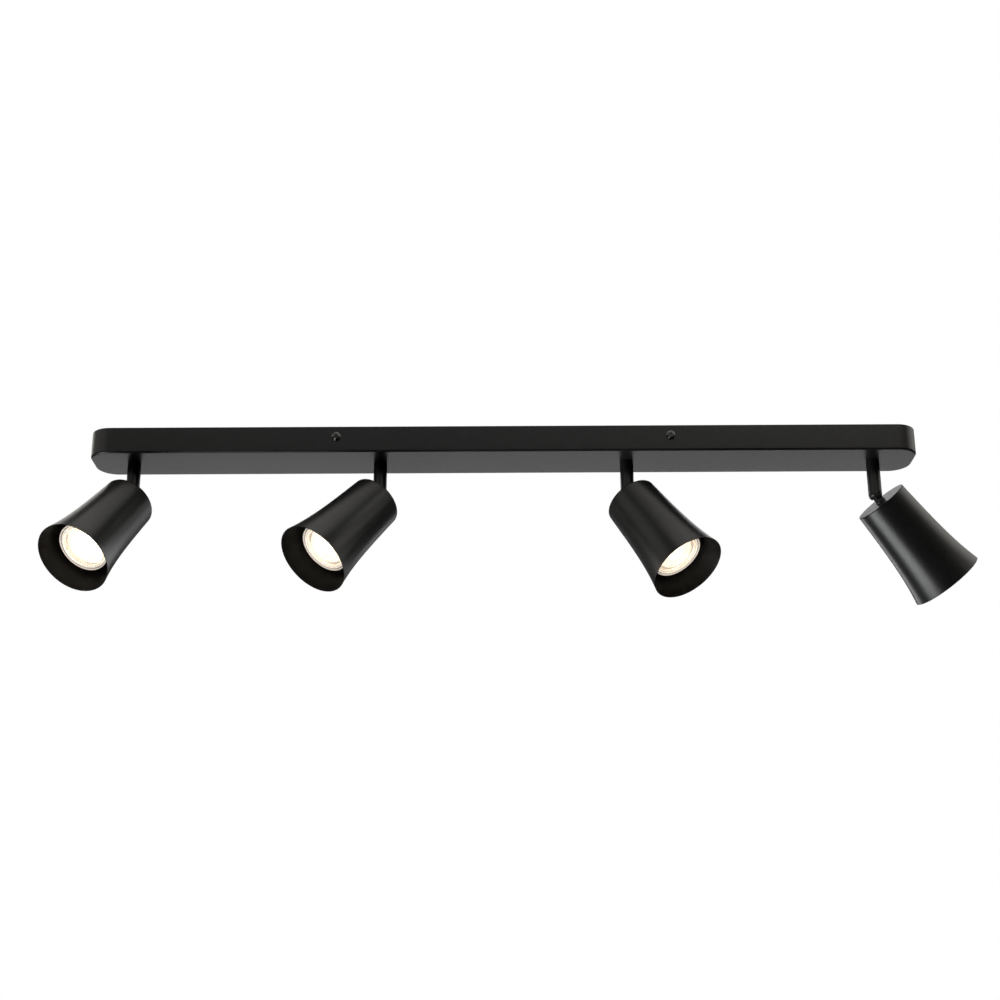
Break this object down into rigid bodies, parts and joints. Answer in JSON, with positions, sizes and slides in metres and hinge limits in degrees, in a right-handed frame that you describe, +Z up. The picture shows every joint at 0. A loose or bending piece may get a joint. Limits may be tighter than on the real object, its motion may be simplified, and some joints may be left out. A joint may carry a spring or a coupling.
{
  "type": "ceiling spot bar",
  "caption": "Black ceiling spot bar: a shallow rectangular tray with round corners carries flared lamp heads that pan on stems and tilt on knuckles, each with a two-pin reflector lamp.",
  "frame": {"origin": "middle of the bar, on the ceiling plane against which the tray's rim and the ceiling strip rest", "axes": "+X along the bar, -Y towards the viewer's side of the room, +Z up into the ceiling"},
  "size_m": [0.8875, 0.1553, 0.1702],
  "materials": {
    "black_powder_coat": "satin black powder coat with a fine grain",
    "galvanised_steel": "zinc-plated sheet steel",
    "black_screw": "blackened steel",
    "grommet_rubber": "soft black rubber",
    "terminal_plastic": "off-white moulded polyamide",
    "zinc_screw": "bright zinc-plated steel",
    "terminal_brass": "plain brass",
    "brown_insulation": "brown wire insulation",
    "blue_insulation": "blue wire insulation",
    "green_yellow_insulation": "green wire insulation with a yellow stripe",
    "holder_ceramic": "white steatite ceramic",
    "lead_silicone": "heat-resistant silicone sleeve",
    "lamp_base_plastic": "white heat-resistant plastic with nickel-plated pins",
    "lamp_glass": "clear glass",
    "lamp_lens_clear": "ribbed clear lens lit from behind in warm white"
  },
  "bodies": {
    "bar": {"bar_cover": "black_powder_coat", "ceiling_bracket": "galvanised_steel", "side_screws": "black_screw", "cable_grommet": "grommet_rubber", "terminal_block": "terminal_plastic", "block_screws": "zinc_screw", "terminal_clamps": "terminal_brass", "terminal_screws": "zinc_screw", "earth_terminal": "terminal_brass", "live_wires": "brown_insulation", "neutral_wires": "blue_insulation", "earth_wires": "green_yellow_insulation"},
    "swivel_1": {"stem_1": "black_powder_coat", "swivel_fasteners_1": "galvanised_steel"},
    "head_1": {"knuckle_1": "black_powder_coat", "back_cap_1": "black_powder_coat", "shade_1": "black_powder_coat", "holder_bracket_1": "galvanised_steel", "lampholder_1": "holder_ceramic", "head_fasteners_1": "zinc_screw", "head_leads_1": "lead_silicone"},
    "lamp_1": {"lamp_base_1": "lamp_base_plastic", "lamp_bulb_1": "lamp_glass", "lamp_lens_1": "lamp_lens_clear"},
    "swivel_2": {"stem_2": "black_powder_coat", "swivel_fasteners_2": "galvanised_steel"},
    "head_2": {"knuckle_2": "black_powder_coat", "back_cap_2": "black_powder_coat", "shade_2": "black_powder_coat", "holder_bracket_2": "galvanised_steel", "lampholder_2": "holder_ceramic", "head_fasteners_2": "zinc_screw", "head_leads_2": "lead_silicone"},
    "lamp_2": {"lamp_base_2": "lamp_base_plastic", "lamp_bulb_2": "lamp_glass", "lamp_lens_2": "lamp_lens_clear"},
    "swivel_3": {"stem_3": "black_powder_coat", "swivel_fasteners_3": "galvanised_steel"},
    "head_3": {"knuckle_3": "black_powder_coat", "back_cap_3": "black_powder_coat", "shade_3": "black_powder_coat", "holder_bracket_3": "galvanised_steel", "lampholder_3": "holder_ceramic", "head_fasteners_3": "zinc_screw", "head_leads_3": "lead_silicone"},
    "lamp_3": {"lamp_base_3": "lamp_base_plastic", "lamp_bulb_3": "lamp_glass", "lamp_lens_3": "lamp_lens_clear"},
    "swivel_4": {"stem_4": "black_powder_coat", "swivel_fasteners_4": "galvanised_steel"},
    "head_4": {"knuckle_4": "black_powder_coat", "back_cap_4": "black_powder_coat", "shade_4": "black_powder_coat", "holder_bracket_4": "galvanised_steel", "lampholder_4": "holder_ceramic", "head_fasteners_4": "zinc_screw", "head_leads_4": "lead_silicone"},
    "lamp_4": {"lamp_base_4": "lamp_base_plastic", "lamp_bulb_4": "lamp_glass", "lamp_lens_4": "lamp_lens_clear"}
  },
  "joints": [
    {"name": "pan_1", "type": "hinge", "parent": "bar", "child": "swivel_1", "pos_m": [-0.36, 0, -0.026], "axis": [0, 0, 1], "range_deg": [-139.5, 200.5]},
    {"name": "tilt_1", "type": "hinge", "parent": "swivel_1", "child": "head_1", "pos_m": [-0.36, 0, -0.062], "axis": [-0.8616, 0.5075, 0], "range_deg": [-41.5, 43.5]},
    {"name": "lamp_twist_1", "type": "hinge", "parent": "head_1", "child": "lamp_1", "pos_m": [-0.36, 0, -0.062], "axis": [-0.3363, -0.5709, -0.749], "range_deg": [0, 22]},
    {"name": "pan_2", "type": "hinge", "parent": "bar", "child": "swivel_2", "pos_m": [-0.12, 0, -0.026], "axis": [0, 0, 1], "range_deg": [-119, 221]},
    {"name": "tilt_2", "type": "hinge", "parent": "swivel_2", "child": "head_2", "pos_m": [-0.12, 0, -0.062], "axis": [-0.6293, 0.7771, 0], "range_deg": [-43.5, 41.5]},
    {"name": "lamp_twist_2", "type": "hinge", "parent": "head_2", "child": "lamp_2", "pos_m": [-0.12, 0, -0.062], "axis": [-0.535, -0.4332, -0.7254], "range_deg": [0, 22]},
    {"name": "pan_3", "type": "hinge", "parent": "bar", "child": "swivel_3", "pos_m": [0.12, 0, -0.026], "axis": [0, 0, 1], "range_deg": [-221.5, 118.5]},
    {"name": "tilt_3", "type": "hinge", "parent": "swivel_3", "child": "head_3", "pos_m": [0.12, 0, -0.062], "axis": [-0.6225, -0.7826, 0], "range_deg": [-37, 48]},
    {"name": "lamp_twist_3", "type": "hinge", "parent": "head_3", "child": "lamp_3", "pos_m": [0.12, 0, -0.062], "axis": [0.471, -0.3746, -0.7986], "range_deg": [0, 22]},
    {"name": "pan_4", "type": "hinge", "parent": "bar", "child": "swivel_4", "pos_m": [0.36, 0, -0.026], "axis": [0, 0, 1], "range_deg": [-282.5, 57.5]},
    {"name": "tilt_4", "type": "hinge", "parent": "swivel_4", "child": "head_4", "pos_m": [0.36, 0, -0.062], "axis": [0.3827, -0.9239, 0], "range_deg": [-43.5, 41.5]},
    {"name": "lamp_twist_4", "type": "hinge", "parent": "head_4", "child": "lamp_4", "pos_m": [0.36, 0, -0.062], "axis": [0.636, 0.2634, -0.7254], "range_deg": [0, 22]}
  ]
}
